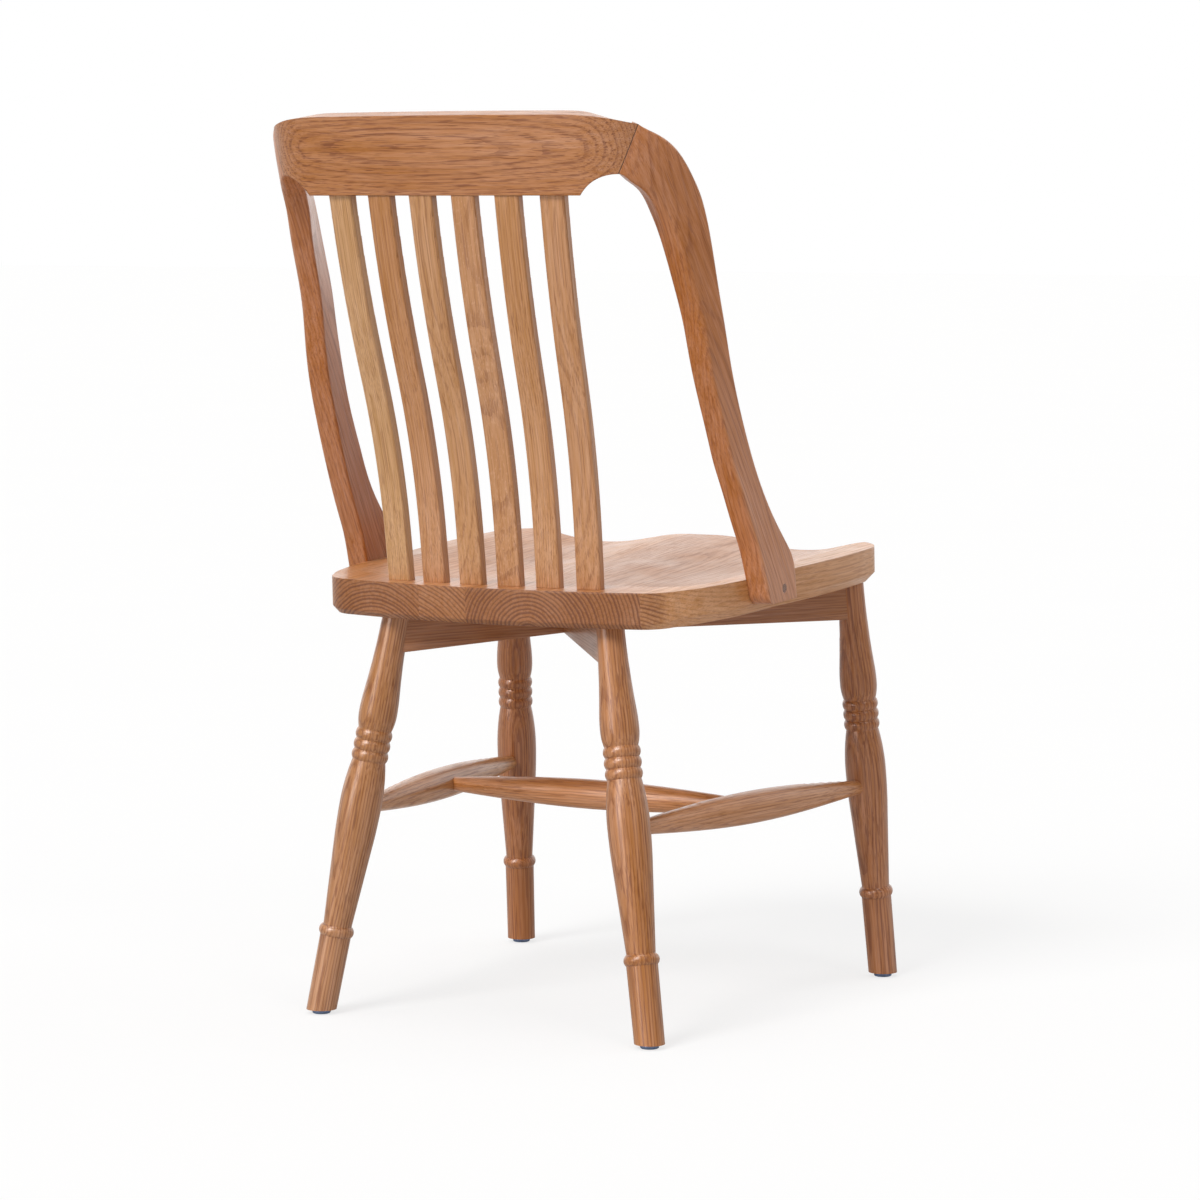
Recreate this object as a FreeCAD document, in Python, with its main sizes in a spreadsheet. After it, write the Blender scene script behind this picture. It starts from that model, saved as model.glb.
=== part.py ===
import FreeCAD, Part
import math
import os
import Sketcher
from FreeCAD import Placement, Rotation, Vector

# A slat-back kitchen chair in solid oak. The frame stands on the floor at z = 0, +Z up.
# The sitter faces -Y, so the chair's left side is +X. The origin lies on the floor under
# the middle of the chair's outer box. All sizes are in millimetres.

doc = FreeCAD.newDocument("slat_back_chair")
sheet = doc.addObject("Spreadsheet::Sheet", "dim")

DIMENSIONS = [
    # seat
    ("seat_thickness", 36, "thickness of the glued-up seat blank"),
    ("seat_top_height", 448.4, "height of the blank's top over the origin"),
    ("seat_tilt", 2.6, "degrees that the seat leans back"),
    ("seat_half_rear", 166, "half width where the rear edge turns into its corners"),
    ("seat_half_front", 168, "half width where the front edge turns into its corners"),
    ("seat_rear_bow", 16.5, "bow of the rear edge"),
    ("seat_front_bow", 9, "bow of the front edge"),
    ("seat_rear", 198, "rear edge at the middle"),
    ("seat_front", 279, "front edge at the middle, in front of the origin"),
    ("seat_scoop", 16.5, "deepest hollow of the seat"),
    ("seat_bevel_high", 9, "height of the bevel under the seat's edge"),
    ("seat_bevel_side", 8, "width of the bevel along the sides and front"),
    ("seat_bevel_rear", 3, "width of the bevel along the rear"),
    ("board_line_left", 72, "glue line between the left and the left middle board"),
    ("board_line_middle", 17, "glue line between the left middle and the centre board"),
    ("board_line_right", -169, "glue line between the centre and the right board"),
    # legs
    ("glide_high", 4.4, "thickness of a glide"),
    ("glide_radius", 9.3, "radius of a glide"),
    ("glide_nail_radius", 1.5, "radius of a glide's nail"),
    ("glide_nail_head", 4, "radius of the nail's head"),
    ("glide_nail_long", 20, "length of the nail"),
    ("rear_foot_x", 188, "rear foot centre from the middle plane"),
    ("rear_foot_y", 195, "rear foot centre behind the origin"),
    ("rear_top_x", 113.9, "rear leg axis at seat height, from the middle plane"),
    ("rear_top_y", 149.3, "rear leg axis at seat height, behind the origin"),
    ("front_foot_x", 220.6, "front foot centre from the middle plane"),
    ("front_foot_y", -267, "front foot centre"),
    ("front_top_x", 201.7, "front leg axis at seat height"),
    ("front_top_y", -214.3, "front leg axis at seat height"),
    ("leg_top_z", 451.1, "height at which the leg axes are given"),
    ("rear_ring_station", 81.6, "low ring of a rear leg, along its axis from the foot"),
    ("front_ring_station", 88.7, "low ring of a front leg, along its axis from the foot"),
    ("ring_spacing", 191.6, "low ring to the middle one of the three upper rings"),
    ("ring_pitch", 10.8, "pitch of the three upper rings"),
    ("foot_radius", 15, "leg radius at the floor"),
    ("ankle_radius", 15.6, "leg radius just under the low ring"),
    ("low_ring_radius", 17.7, "radius of the low ring"),
    ("low_ring_half", 5.6, "half height of the low ring"),
    ("shin_radius", 14.4, "leg radius just over the low ring"),
    ("calf_radius", 21.2, "thickest part of the leg"),
    ("calf_drop", 60, "thickest part below the middle upper ring"),
    ("calf_arc_drop", 103, "where the calf's curve runs out into a straight taper"),
    ("calf_arc_radius", 19.7, "leg radius where the straight taper starts"),
    ("neck_radius", 16.8, "leg radius in the grooves and beside the upper rings"),
    ("upper_ring_radius", 18.6, "radius of the upper rings"),
    ("bulb_radius", 19.3, "radius of the bulb over the upper rings"),
    ("bulb_rise", 33, "bulb over the middle upper ring"),
    ("shoulder_rise", 50, "where the bulb turns into the concave taper"),
    ("shoulder_radius", 18.5, "leg radius there"),
    ("leg_top_radius", 14.2, "leg radius under the seat"),
    ("leg_top_rise", 150, "top of the turned taper over the middle upper ring"),
    # diagonal rails
    ("rail_thick", 20, "thickness of a diagonal rail"),
    ("rail_end_deep", 39, "depth of a rail at the legs"),
    ("rail_middle_deep", 30, "depth of a rail at the crossing"),
    ("rail_past_axis", 4, "how far a rail passes a leg's axis"),
    ("rail_screw_radius", 2.2, "shank radius of the screws through the rails"),
    ("rail_screw_head", 4.2, "head radius of those screws"),
    ("rail_screw_long", 42, "length of those screws"),
    # stretchers
    ("stretcher_rear_z", 208.5, "height of a side stretcher at the rear leg"),
    ("stretcher_front_z", 205.5, "height of a side stretcher at the front leg"),
    ("stretcher_end_radius", 7.4, "radius of a stretcher's ends"),
    ("side_belly_radius", 16.6, "radius of a side stretcher at its middle"),
    ("middle_belly_radius", 15.4, "radius of the middle stretcher at its middle"),
    ("stretcher_past_axis", 5, "how far a side stretcher passes a leg's axis"),
    ("middle_short_of_axis", 6, "how far the middle stretcher stops short of a side stretcher's axis"),
    ("middle_stretcher_y", -36, "middle stretcher in front of the origin"),
    # back
    ("slat_wide", 26, "width of a back slat"),
    ("slat_thick", 11.5, "thickness of a back slat"),
    ("slat_arris", 2, "rounding of a slat's long edges"),
    ("slat_foot_y", 178.3, "rear face of the two middle slats at the seat"),
    ("slat_lean_foot", 0.125, "lean of a slat at the seat, run over rise"),
    ("slat_lean_middle", 0.345, "its strongest lean"),
    ("slat_lean_top", 0.2, "its lean at the crest rail"),
    ("slat_bend_low_z", 480, "height where a slat starts to bend back"),
    ("slat_bend_mid_z", 645, "height where it starts to bend upright again"),
    ("slat_row_bow", 5.4, "how far forward the outer slats stand of the middle ones"),
    ("slat_half_pitch_foot", 21.6, "half the pitch of the slats at the seat"),
    ("slat_half_pitch_top", 23.7, "half the pitch of the slats at the crest rail"),
    ("slat_turn", 4.5, "degrees that the outer slats turn outward"),
    ("slat_tenon_wide", 20, "width of a slat's tenons"),
    ("slat_tenon_thick", 7.5, "thickness of a slat's tenons"),
    ("slat_tenon_long", 16, "length of a slat's tenons"),
    ("crest_low", 822, "lower edge of the crest rail"),
    ("crest_high", 899, "upper edge of the crest rail"),
    ("crest_rake", 0.17, "backward lean of the crest rail, run over rise"),
    ("crest_thick", 23.5, "thickness of the crest rail"),
    ("crest_rear_y", 270.5, "rear face of the crest rail at its lower edge, at the middle"),
    ("crest_bow", 4.6, "how far its rear face bows back between the corners"),
    ("crest_corner_x", 145.2, "where the rear face starts to turn forward"),
    ("crest_corner_radius", 72.5, "radius of that turn in plan"),
    ("crest_top_rise", 0.19, "rise of the crest's top edge from rear to front, over its thickness"),
    ("ear_x", 151, "where the sawn ears leave the straight lower edge"),
    ("ear_drop", 32, "centre of the ears' ellipses below that edge"),
    ("mitre_low_x", 187, "mitre at the lower edge, from the middle plane"),
    ("mitre_low_z", 842, "height of the mitre's lower end"),
    ("mitre_high_x", 203.5, "mitre at the upper edge, from the middle plane"),
    ("mitre_high_z", 888.6, "height of the mitre's upper end"),
    ("post_thick", 23.5, "thickness of a back post"),
    ("post_arris", 2.6, "rounding of a post's edges"),
    ("post_foot_drop", 25, "post's foot below the top of the seat blank"),
    ("post_foot_round", 11, "rounding of the foot's rear corner"),
    ("post_foot_outer_x", 242.3, "outer face of a post at its plug, from the middle plane"),
    ("plug_radius", 4.5, "radius of a wood plug"),
    ("plug_deep", 8, "depth of a wood plug"),
    ("plug_y", 16, "plug behind the origin"),
    ("plug_z", 435.5, "height of the plug"),
    ("post_screw_radius", 2.5, "shank radius of a post's screw"),
    ("post_screw_head", 4.4, "head radius of a post's screw"),
    ("post_screw_long", 50, "length of a post's screw"),
    ("dowel_radius", 4, "radius of a mitre dowel"),
    ("dowel_long", 34, "length of a mitre dowel"),
]


def fill_sheet():
    """One row per driving dimension: its words, its number and the number's alias."""
    for row, (alias, number, words) in enumerate(DIMENSIONS, start=1):
        sheet.set("A%d" % row, words)
        sheet.set("B%d" % row, repr(float(number)))
        sheet.setAlias("B%d" % row, alias)
    doc.recompute()


fill_sheet()


def size(alias):
    return float(sheet.get(alias))


def value(expression):
    return float(sheet.evalExpression(expression))


# Helpers for sketches and bodies

def origin_plane(body, role):
    for feature in body.Origin.OriginFeatures:
        if feature.Role == role:
            return feature


def new_sketch(body, role, name):
    sketch = body.newObject("Sketcher::SketchObject", name)
    sketch.AttachmentSupport = [(origin_plane(body, role), "")]
    sketch.MapMode = "FlatFace"
    return sketch


def bind_point(sketch, edge, end, across, up):
    """Ties one end of an edge to the sheet: its two coordinates are expressions."""
    for kind, expression, axis in (("DistanceX", across, -2), ("DistanceY", up, -1)):
        number = value(expression)
        if abs(number) < 1e-9:
            sketch.addConstraint(Sketcher.Constraint("PointOnObject", edge, end, axis))
            continue
        index = sketch.addConstraint(Sketcher.Constraint(kind, -1, 1, edge, end, number))
        sketch.setExpression("Constraints[%d]" % index, expression)


def draw_outline(sketch, points, bulges=None):
    """A closed outline through points given as pairs of expressions. A bulge, by the number
    of the point that its edge starts at, is the height of an arc to the right of the chord."""
    bulges = bulges or {}
    first_edge = sketch.GeometryCount
    spots = [Vector(value(across), value(up), 0) for across, up in points]
    ends = []
    for number, spot in enumerate(spots):
        after = spots[(number + 1) % len(spots)]
        bulge = bulges.get(number, 0)
        chord = after - spot
        middle = (spot + after) * 0.5 + Vector(chord.y, -chord.x, 0).normalize() * bulge
        if bulge > 0:
            drawn = Part.Arc(spot, middle, after)
        elif bulge < 0:
            drawn = Part.Arc(after, middle, spot)
        else:
            drawn = Part.LineSegment(spot, after)
        sketch.addGeometry(drawn, False)
        ends.append((2, 1) if bulge < 0 else (1, 2))
    for number, (across, up) in enumerate(points):
        edge = first_edge + number
        before = (number - 1) % len(points)
        sketch.addConstraint(
            Sketcher.Constraint("Coincident", first_edge + before, ends[before][1], edge, ends[number][0])
        )
        bind_point(sketch, edge, ends[number][0], across, up)


def revolve(body, sketch, name="turned"):
    feature = body.newObject("PartDesign::Revolution", name)
    feature.Profile = sketch
    feature.ReferenceAxis = (sketch, ["V_Axis"])
    feature.Angle = 360
    sketch.Visibility = False
    return feature


def pad(body, sketch, length, name="pad"):
    feature = body.newObject("PartDesign::Pad", name)
    feature.Profile = sketch
    feature.SideType = "Symmetric"
    feature.setExpression("Length", length)
    return feature


def pocket(body, sketch, length, name="pocket"):
    feature = body.newObject("PartDesign::Pocket", name)
    feature.Profile = sketch
    feature.SideType = "Symmetric"
    feature.setExpression("Length", length)
    return feature


def turn_to(direction):
    return Rotation(Vector(0, 0, 1), direction)


def shape_feature(label, shape):
    feature = doc.addObject("Part::Feature", label + "_shape")
    feature.Label = label
    feature.Shape = shape
    return feature


def cut(label, base, tools):
    """The base less its tools, as one boolean object that carries the sub-part's name."""
    result = doc.addObject("Part::Cut", label + "_cut")
    result.Base = base
    if len(tools) == 1:
        result.Tool = tools[0]
    else:
        bundle = doc.addObject("Part::Compound", label + "_tools")
        bundle.Links = tools
        result.Tool = bundle
    result.Label = label
    return result


parts = []


def keep(part, label=None):
    if label:
        part.Label = label
    parts.append(part)
    return part


# Seat frame: x to the left, y along the seat to the rear, z square to its top

SEAT_PLACE = Placement(
    Vector(0, 0, size("seat_top_height")), Rotation(Vector(1, 0, 0), -size("seat_tilt"))
)
SEAT_SLOPE = math.tan(math.radians(size("seat_tilt")))


def seat_top_z(y):
    return size("seat_top_height") - SEAT_SLOPE * y


def seat_outline(side_inset, rear_inset, z):
    """Half of the outline is a bowed rear edge, a tight rear corner, a side that pinches in
    where the post stands, a round front corner and a bowed front edge; the rest mirrors it."""
    rear = size("seat_rear") - rear_inset
    front = -size("seat_front") + side_inset
    half_rear = size("seat_half_rear") - side_inset * 0.5
    half_front = size("seat_half_front") - side_inset * 0.5
    rear_bow = size("seat_rear_bow")
    front_bow = size("seat_front_bow")

    def half(sign):
        rear_end = Vector(sign * half_rear, rear - rear_bow, z)
        corner_x = 188.5 - side_inset * 0.7
        corner_y = rear - 29 + (side_inset - rear_inset) * 0.2
        rear_corner = Vector(sign * corner_x, corner_y, z)
        side_start = Vector(sign * (197.5 - side_inset), 152, z)
        side = [
            side_start,
            Vector(sign * (205 - side_inset), 136, z),
            Vector(sign * (212 - side_inset), 109, z),
            Vector(sign * (220.5 - side_inset), 56, z),
            Vector(sign * (223 - side_inset), -6, z),
            Vector(sign * (228.5 - side_inset), -86, z),
            Vector(sign * (230.5 - side_inset), -150, z),
            Vector(sign * (228 - side_inset), -210, z),
        ]
        front_corner = Vector(sign * (211 - side_inset * 0.8), front + 26.5 - side_inset * 0.2, z)
        front_end = Vector(sign * half_front, front + front_bow, z)
        curve = Part.BSplineCurve()
        curve.interpolate(side)
        return [
            Part.Arc(rear_end, rear_corner, side_start).toShape(),
            curve.toShape(),
            Part.Arc(side[-1], front_corner, front_end).toShape(),
        ]

    left = half(1)
    right = half(-1)
    rear_edge = Part.Arc(
        Vector(-half_rear, rear - rear_bow, z), Vector(0, rear, z), Vector(half_rear, rear - rear_bow, z)
    ).toShape()
    front_edge = Part.Arc(
        Vector(half_front, front + front_bow, z),
        Vector(0, front, z),
        Vector(-half_front, front + front_bow, z),
    ).toShape()
    edges = [rear_edge] + left + [front_edge] + right[::-1]
    return Part.Wire(Part.__sortEdges__(edges))


def smooth(start, end, number):
    t = min(max((number - start) / (end - start), 0), 1)
    return t * t * (3 - 2 * t)


def scoop_depth(x, y):
    """Depth of the hollow, from none to all of it: two thigh channels run out over the front
    edge on both sides of a low pommel and join in a wide dish that ends before the slats."""
    across = abs(x)
    pommel_fill = 0.2 + 0.35 * smooth(-250, -95, y) + 0.35 * smooth(-95, 85, y)
    channels = pommel_fill + (1 - pommel_fill) * smooth(20, 110, across)
    side_rim = 1 - smooth(126, 216, across)
    rear_rim = 1 - smooth(55, 154, y)
    front_share = 0.79 + 0.21 * smooth(-276, -80, y)
    return channels * side_rim * rear_rim * front_share


def scoop_cutter():
    """Everything above a smooth surface that lies just over the blank where nothing is cut."""
    lift = 1.3
    columns = 25
    rows = 21
    grid = []
    for i in range(columns):
        x = -250 + 500 * i / (columns - 1)
        line = []
        for j in range(rows):
            y = -310 + 540 * j / (rows - 1)
            share = scoop_depth(x, y)
            line.append(Vector(x, y, lift - (size("seat_scoop") + lift) * share))
        grid.append(line)
    surface = Part.BSplineSurface()
    surface.interpolate(grid)
    return surface.toShape().extrude(Vector(0, 0, 80))


def seat_blank():
    """The outline carried up from the underside, less the bevel round its lower edge: the bevel
    is a flaring loft that is steeper and lower along the rear than along the sides."""
    thickness = size("seat_thickness")
    high = size("seat_bevel_high")
    side = size("seat_bevel_side")
    rear = size("seat_bevel_rear")
    plain = Part.Face(seat_outline(0, 0, -thickness)).extrude(Vector(0, 0, thickness))
    narrow = seat_outline(side, rear, -thickness)
    flare_side = side - side / high * thickness
    flare_rear = rear - rear / (high / 2) * thickness
    wide = seat_outline(flare_side, flare_rear, 0)
    flaring = Part.makeLoft([narrow, wide], True, True)
    return plain.common(flaring).cut(scoop_cutter())


def seat_boards(tools):
    """The blank parts along its glue lines into four boards."""
    blank = seat_blank()
    blank.Placement = SEAT_PLACE
    for tool in tools:
        blank = blank.cut(tool)
    lines = [260, size("board_line_left"), size("board_line_middle"), size("board_line_right"), -260]
    names = ["seat_board_left", "seat_board_left_middle", "seat_board_centre", "seat_board_right"]
    for name, left, right in zip(names, lines, lines[1:]):
        slab = Part.makeBox(left - right, 700, 300, Vector(right, -350, 300))
        board = blank.common(slab)
        solid = max(board.Solids, key=lambda item: item.Volume)
        keep(shape_feature(name, solid))


# Legs

LEG_CORNERS = {
    "rear_left": (1, "rear"),
    "rear_right": (-1, "rear"),
    "front_right": (-1, "front"),
    "front_left": (1, "front"),
}


def leg_axis(corner):
    """Foot centre and unit direction of a leg's axis."""
    sign, row = LEG_CORNERS[corner]
    foot = Vector(sign * size(row + "_foot_x"), size(row + "_foot_y"), size("glide_high"))
    top = Vector(sign * size(row + "_top_x"), size(row + "_top_y"), size("leg_top_z"))
    return foot, (top - foot).normalize()


def leg_point(corner, z):
    foot, direction = leg_axis(corner)
    return foot + direction * ((z - foot.z) / direction.z)


def leg_body(corner):
    """Turned blank of one leg: half profile turned about its axis, from below the floor cut
    to above the seat's underside."""
    row = LEG_CORNERS[corner][1]
    ring = "dim.%s_ring_station" % row
    middle = "%s + dim.ring_spacing" % ring
    body = doc.addObject("PartDesign::Body", "leg_blank_" + corner)
    sketch = new_sketch(body, "XZ_Plane", "leg_profile_" + corner)
    neck = "dim.neck_radius"
    groove = "%s + %s * dim.ring_pitch"
    points = [
        ("0", "-8"),
        ("dim.foot_radius", "-8"),
        ("dim.ankle_radius", "%s - dim.low_ring_half" % ring),
        ("dim.shin_radius", "%s + dim.low_ring_half" % ring),
        ("dim.calf_arc_radius", "%s - dim.calf_arc_drop" % middle),
        ("dim.calf_radius", "%s - dim.calf_drop" % middle),
        (neck, groove % (middle, "-1.5")),
        (neck, groove % (middle, "-0.5")),
        (neck, groove % (middle, "0.5")),
        (neck, groove % (middle, "1.5")),
        ("dim.bulb_radius", "%s + dim.bulb_rise" % middle),
        ("dim.shoulder_radius", "%s + dim.shoulder_rise" % middle),
        ("dim.leg_top_radius", "%s + dim.leg_top_rise" % middle),
        ("dim.leg_top_radius", "%s + dim.leg_top_rise + 20" % middle),
        ("0", "%s + dim.leg_top_rise + 20" % middle),
    ]
    ring_bulge = size("upper_ring_radius") - size("neck_radius")
    bulges = {
        2: size("low_ring_radius") - (size("ankle_radius") + size("shin_radius")) / 2,
        4: 0.35,
        5: 1.1,
        6: ring_bulge,
        7: ring_bulge,
        8: ring_bulge,
        9: 0.65,
        10: 0.2,
        11: -1.5,
    }
    draw_outline(sketch, points, bulges)
    revolve(body, sketch)
    foot, direction = leg_axis(corner)
    body.Placement = Placement(foot, turn_to(direction))
    return body


def floor_box(name):
    """Levels the feet on the glides."""
    box = doc.addObject("Part::Box", name)
    box.Length = 700
    box.Width = 700
    box.Height = 60
    box.Placement.Base = Vector(-350, -350, 0)
    box.setExpression("Placement.Base.z", "dim.glide_high - 60")
    return box


def seat_underside_box(name):
    """Everything above the seat's underside."""
    box = doc.addObject("Part::Box", name)
    box.Length = 700
    box.Width = 700
    box.Height = 200
    corner = Placement(Vector(-350, -350, -size("seat_thickness")), Rotation())
    box.Placement = SEAT_PLACE.multiply(corner)
    return box


# Glides

def glide(corner):
    """Turned plastic pad with an eased lower rim and a hole and countersink for its nail."""
    body = doc.addObject("PartDesign::Body", "glide_" + corner)
    sketch = new_sketch(body, "XZ_Plane", "glide_profile_" + corner)
    points = [
        ("dim.glide_nail_radius", "dim.glide_high"),
        ("dim.glide_nail_radius", "2.4"),
        ("dim.glide_nail_head + 0.6", "0"),
        ("dim.glide_radius - 1.6", "0"),
        ("dim.glide_radius", "1.8"),
        ("dim.glide_radius", "dim.glide_high"),
    ]
    draw_outline(sketch, points, {3: 0.5})
    revolve(body, sketch, "pad")
    foot = leg_axis(corner)[0]
    body.Placement = Placement(Vector(foot.x, foot.y, 0), Rotation())
    return keep(body, "glide_" + corner)


def glide_nail(corner):
    """Nail of a glide: flat head up in the countersink, shank up into the leg."""
    foot = leg_axis(corner)[0]
    head = Part.makeCone(size("glide_nail_head"), size("glide_nail_radius"), 1.7, Vector(0, 0, 0.7))
    shank = Part.makeCylinder(
        size("glide_nail_radius"), size("glide_nail_long") - 2.4, Vector(0, 0, 2.4)
    )
    nail = head.fuse(shank).removeSplitter()
    nail.translate(Vector(foot.x, foot.y, 0))
    return nail


# Diagonal rails

def underside_point(corner):
    """Where a leg's axis meets the seat's underside, in the seat's own frame."""
    foot, direction = leg_axis(corner)
    back = SEAT_PLACE.inverse()
    start = back.multVec(foot)
    along = back.Rotation.multVec(direction)
    return start + along * ((-size("seat_thickness") - start.z) / along.z)


def rail_frame(rear_corner, front_corner):
    """Frame of a rail: origin at the crossing on the seat's underside, x to the front leg."""
    rear = underside_point(rear_corner)
    front = underside_point(front_corner)
    cross = rear + (front - rear) * (rear.x / (rear.x - front.x))
    along = front - rear
    turn = Rotation(Vector(0, 0, 1), math.degrees(math.atan2(along.y, along.x)))
    frame = SEAT_PLACE.multiply(Placement(cross, turn))
    return frame, (rear - cross).Length, (front - cross).Length, along


def rail(name, rear_corner, front_corner, lap_on_top):
    """A diagonal rail: flat top against the seat, lower edge rising to the crossing, and half
    of its depth there lapped out for the other rail."""
    frame, rear_long, front_long, along = rail_frame(rear_corner, front_corner)
    body = doc.addObject("PartDesign::Body", name + "_body")
    sketch = new_sketch(body, "XZ_Plane", name + "_side")
    rear_end = "-%.3f - dim.rail_past_axis" % rear_long
    front_end = "%.3f + dim.rail_past_axis" % front_long
    points = [
        (rear_end, "0"),
        (rear_end, "-dim.rail_end_deep"),
        ("0", "-dim.rail_middle_deep"),
        (front_end, "-dim.rail_end_deep"),
        (front_end, "0"),
    ]
    draw_outline(sketch, points)
    pad(body, sketch, "dim.rail_thick", name + "_blank")
    lap = new_sketch(body, "XY_Plane", name + "_lap_plan")
    lap.setExpression("AttachmentOffset.Base.z", "0" if lap_on_top else "-dim.rail_middle_deep")
    between = math.radians(180) - 2 * math.atan2(abs(along.x), abs(along.y))
    if along.x > 0:
        between = -between
    reach = size("rail_thick")
    slant = reach / math.tan(between)
    half = "dim.rail_thick / 2 / %.6f" % abs(math.sin(between))
    corners = [
        ("%.4f - %s" % (slant, half), "%.1f" % reach),
        ("%.4f + %s" % (slant, half), "%.1f" % reach),
        ("%.4f + %s" % (-slant, half), "-%.1f" % reach),
        ("%.4f - %s" % (-slant, half), "-%.1f" % reach),
    ]
    draw_outline(lap, corners)
    pocket(body, lap, "dim.rail_middle_deep", name + "_lap")
    body.Placement = frame
    return body


RAIL_SCREW_SPOTS = (-100, 140)


def rail_screws(frame):
    """Two countersunk screws up through a rail into the seat."""
    screws = []
    for x in RAIL_SCREW_SPOTS:
        low = -size("rail_middle_deep") + 1
        head_high = size("rail_screw_head") - size("rail_screw_radius")
        head = Part.makeCone(
            size("rail_screw_head"), size("rail_screw_radius"), head_high, Vector(x, 0, low)
        )
        shank_long = size("rail_screw_long") - head_high
        shank = Part.makeCylinder(
            size("rail_screw_radius"), shank_long, Vector(x, 0, low + head_high)
        )
        screw = head.fuse(shank).removeSplitter()
        screw.Placement = frame
        screws.append(screw)
    return screws


def rail_screw_bores(frame):
    """Counterbores below the screw heads."""
    bores = []
    for x in RAIL_SCREW_SPOTS:
        low = -size("rail_middle_deep") + 1
        bore = Part.makeCylinder(size("rail_screw_head"), 30, Vector(x, 0, low - 30))
        bore.Placement = frame
        bores.append(bore)
    return bores


# Stretchers

def belly(share, end, middle):
    """Radius of a stretcher at a share of the way along its curved part."""
    return end + (middle - end) * math.sin(math.pi * share)


def stretcher(name, start, end, before, after, straight, middle_alias):
    """A turned stretcher from one joint to the other: straight ends and a sine-shaped belly,
    drawn as four arcs. It reaches past its two end points by before and after."""
    body = doc.addObject("PartDesign::Body", name + "_body")
    sketch = new_sketch(body, "XZ_Plane", name + "_profile")
    long = (end - start).Length
    first = straight
    last = long - straight
    end_radius = size("stretcher_end_radius")
    middle_radius = size(middle_alias)
    shares = [0, 0.25, 0.5, 0.75, 1]
    points = [("0", "%.3f" % -before), ("dim.stretcher_end_radius", "%.3f" % -before)]
    bulges = {}
    for number, share in enumerate(shares):
        station = first + (last - first) * share
        radius = "dim.stretcher_end_radius + (dim.%s - dim.stretcher_end_radius) * %.6f" % (
            middle_alias, math.sin(math.pi * share)
        )
        points.append((radius, "%.3f" % station))
        if share < 1:
            beside = belly(share + 0.125, end_radius, middle_radius)
            ends = belly(share, end_radius, middle_radius) + belly(share + 0.25, end_radius, middle_radius)
            bulges[2 + number] = beside - ends / 2
    points.append(("dim.stretcher_end_radius", "%.3f" % (long + after)))
    points.append(("0", "%.3f" % (long + after)))
    draw_outline(sketch, points, bulges)
    revolve(body, sketch)
    body.Placement = Placement(start, turn_to(end - start))
    return body


# Back slats

def slat_curve():
    """Height, setback and lean angle of a slat's rear face at its foot, at its two bends and at
    the crest rail. Between bends the face is a circular arc."""
    foot_z = seat_top_z(size("slat_foot_y"))
    heights = [foot_z, size("slat_bend_low_z"), size("slat_bend_mid_z"), size("crest_low")]
    leans = [size("slat_lean_foot"), size("slat_lean_foot"), size("slat_lean_middle"), size("slat_lean_top")]
    angles = [math.atan(lean) for lean in leans]
    setbacks = [0, size("slat_lean_foot") * (heights[1] - heights[0])]
    for low in (1, 2):
        rise = heights[low + 1] - heights[low]
        radius = rise / (math.sin(angles[low + 1]) - math.sin(angles[low]))
        setbacks.append(setbacks[-1] + radius * (math.cos(angles[low]) - math.cos(angles[low + 1])))
    rises = [height - foot_z for height in heights]
    return rises, setbacks, angles


def arc_height(chord, turn):
    return abs(chord / 2 * math.tan(turn / 4))


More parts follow.
